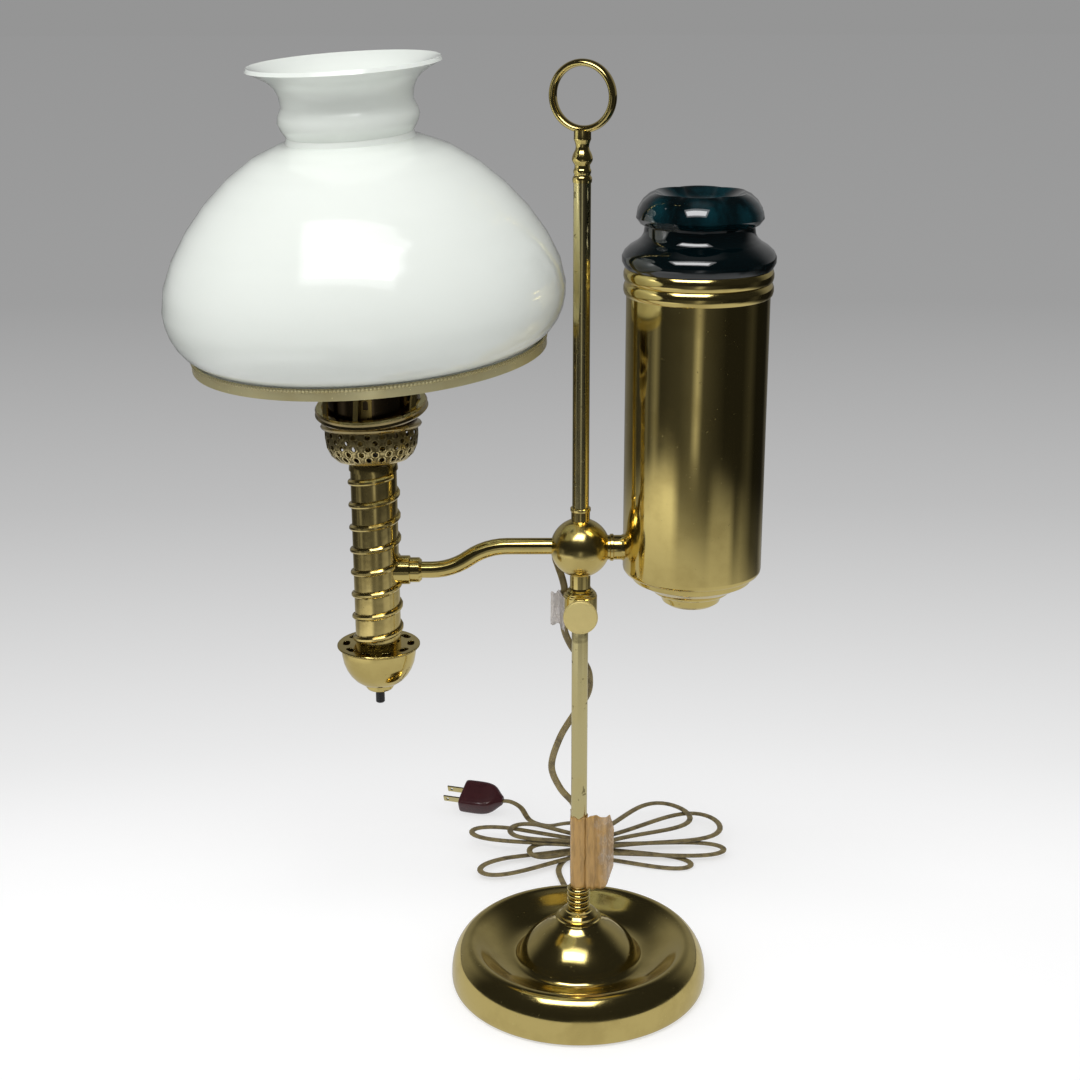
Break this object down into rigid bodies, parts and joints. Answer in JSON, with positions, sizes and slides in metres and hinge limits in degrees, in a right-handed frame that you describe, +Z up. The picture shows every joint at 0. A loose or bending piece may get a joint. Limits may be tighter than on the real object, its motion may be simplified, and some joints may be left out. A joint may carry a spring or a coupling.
{
  "type": "student lamp",
  "caption": "Tall brass student lamp with a white glass shade on one arm and a glass-capped tank on the other, sliding and turning on a round base's pole, with a corded plug.",
  "frame": {"origin": "centre of the base's underside, on the table", "axes": "+Z up along the pole; +X towards the tank; -Y towards the viewer, with the cord laid behind at +Y"},
  "size_m": [0.4403, 0.4714, 0.7277],
  "materials": {
    "dark_brass": "polished under dark tarnish",
    "aged_brass": "worn, pale on its high points",
    "yellow_brass": "polished, lightly tarnished",
    "pale_brass": "brushed, pale",
    "blade_brass": "bare",
    "iron_weight": "rough",
    "steel": "plain",
    "aluminium_cap": "plain",
    "green_felt": "felt",
    "amber_tape": "clear tape gone amber",
    "pale_tape": "clear tape gone dull",
    "cord": "smooth brown cover",
    "wire_cover": "smooth",
    "maroon_plug": "moulded",
    "black_plastic": "moulded",
    "porcelain": "glazed",
    "bulb_glass": "frosted",
    "milk_glass": "opaque white, glossy",
    "teal_glass": "dark, glossy"
  },
  "bodies": {
    "stand": {"base_shell": "dark_brass", "base_weight": "iron_weight", "felt_pad": "green_felt", "base_flange": "yellow_brass", "neck_rings": "yellow_brass", "pole": "pale_brass", "pole_nut": "steel", "finial_stem": "yellow_brass", "finial_ring": "yellow_brass", "pole_tape": "amber_tape", "cord_tail": "cord", "cord_hank": "cord", "cord_lead": "cord", "plug_body": "maroon_plug", "plug_blades": "blade_brass"},
    "clamp": {"clamp_collar": "yellow_brass", "clamp_washer": "yellow_brass", "clamp_tail": "yellow_brass", "clamp_tape": "pale_tape", "cord_run": "cord"},
    "thumb_screw": {"thumb_screw": "yellow_brass"},
    "hub": {"hub_ball": "pale_brass", "hub_sleeve": "yellow_brass", "cord_relief": "black_plastic", "cord_neck": "cord", "arm_wire": "cord", "arm_tube": "pale_brass", "arm_ferrule": "yellow_brass", "column_tube": "dark_brass", "column_rib": "yellow_brass", "column_cap": "dark_brass", "column_wires": "wire_cover", "socket_nipple": "steel", "cup_plate": "yellow_brass", "cup_bowl": "yellow_brass", "cup_nut": "yellow_brass", "switch_body": "black_plastic", "switch_spring": "steel", "burner_basket": "aged_brass", "gallery_ring": "dark_brass", "burner_deck": "dark_brass", "deck_prongs": "dark_brass", "socket_strap": "aged_brass", "socket_cap": "aged_brass", "socket_shell": "aged_brass", "socket_insulator": "porcelain", "screw_shell": "blade_brass", "bulb_base": "aluminium_cap", "bulb_glass": "bulb_glass", "tank_stub": "yellow_brass", "tank_shell": "dark_brass", "tank_bottom": "dark_brass", "tank_collar": "yellow_brass"},
    "button": {"switch_button": "black_plastic"},
    "holder": {"crown_ring": "aged_brass", "holder_arms": "yellow_brass", "shade_band": "yellow_brass"},
    "shade": {"shade_glass": "milk_glass"},
    "cap": {"tank_cap": "teal_glass"}
  },
  "joints": [
    {"name": "clamp_slide", "type": "slide", "parent": "stand", "child": "clamp", "axis": [0, 0, 1], "range_m": [-0.1, 0.07], "deforming": ["cord_run"]},
    {"name": "hub_swing", "type": "hinge", "parent": "clamp", "child": "hub", "pos_m": [0, 0, 0.368], "axis": [0, 0, 1], "range_deg": [-180, 180], "deforming": ["cord_neck"]},
    {"name": "screw_turn", "type": "hinge", "parent": "clamp", "child": "thumb_screw", "pos_m": [0, 0, 0.3185], "axis": [0, -1, 0], "range_deg": [-720, 0]},
    {"name": "button_push", "type": "slide", "parent": "hub", "child": "button", "axis": [0, 0, 1], "range_m": [0, 0.003], "stiffness_N_per_m": 600, "springref_m": -0.002, "deforming": ["switch_spring"]},
    {"name": "holder_lift", "type": "slide", "parent": "hub", "child": "holder", "axis": [0, 0, 1], "range_m": [0, 0.012]},
    {"name": "shade_lift", "type": "slide", "parent": "holder", "child": "shade", "axis": [-0.342, 0, 0.9397], "range_m": [0, 0.1]},
    {"name": "cap_lift", "type": "slide", "parent": "hub", "child": "cap", "axis": [0, 0, 1], "range_m": [0, 0.06]}
  ]
}
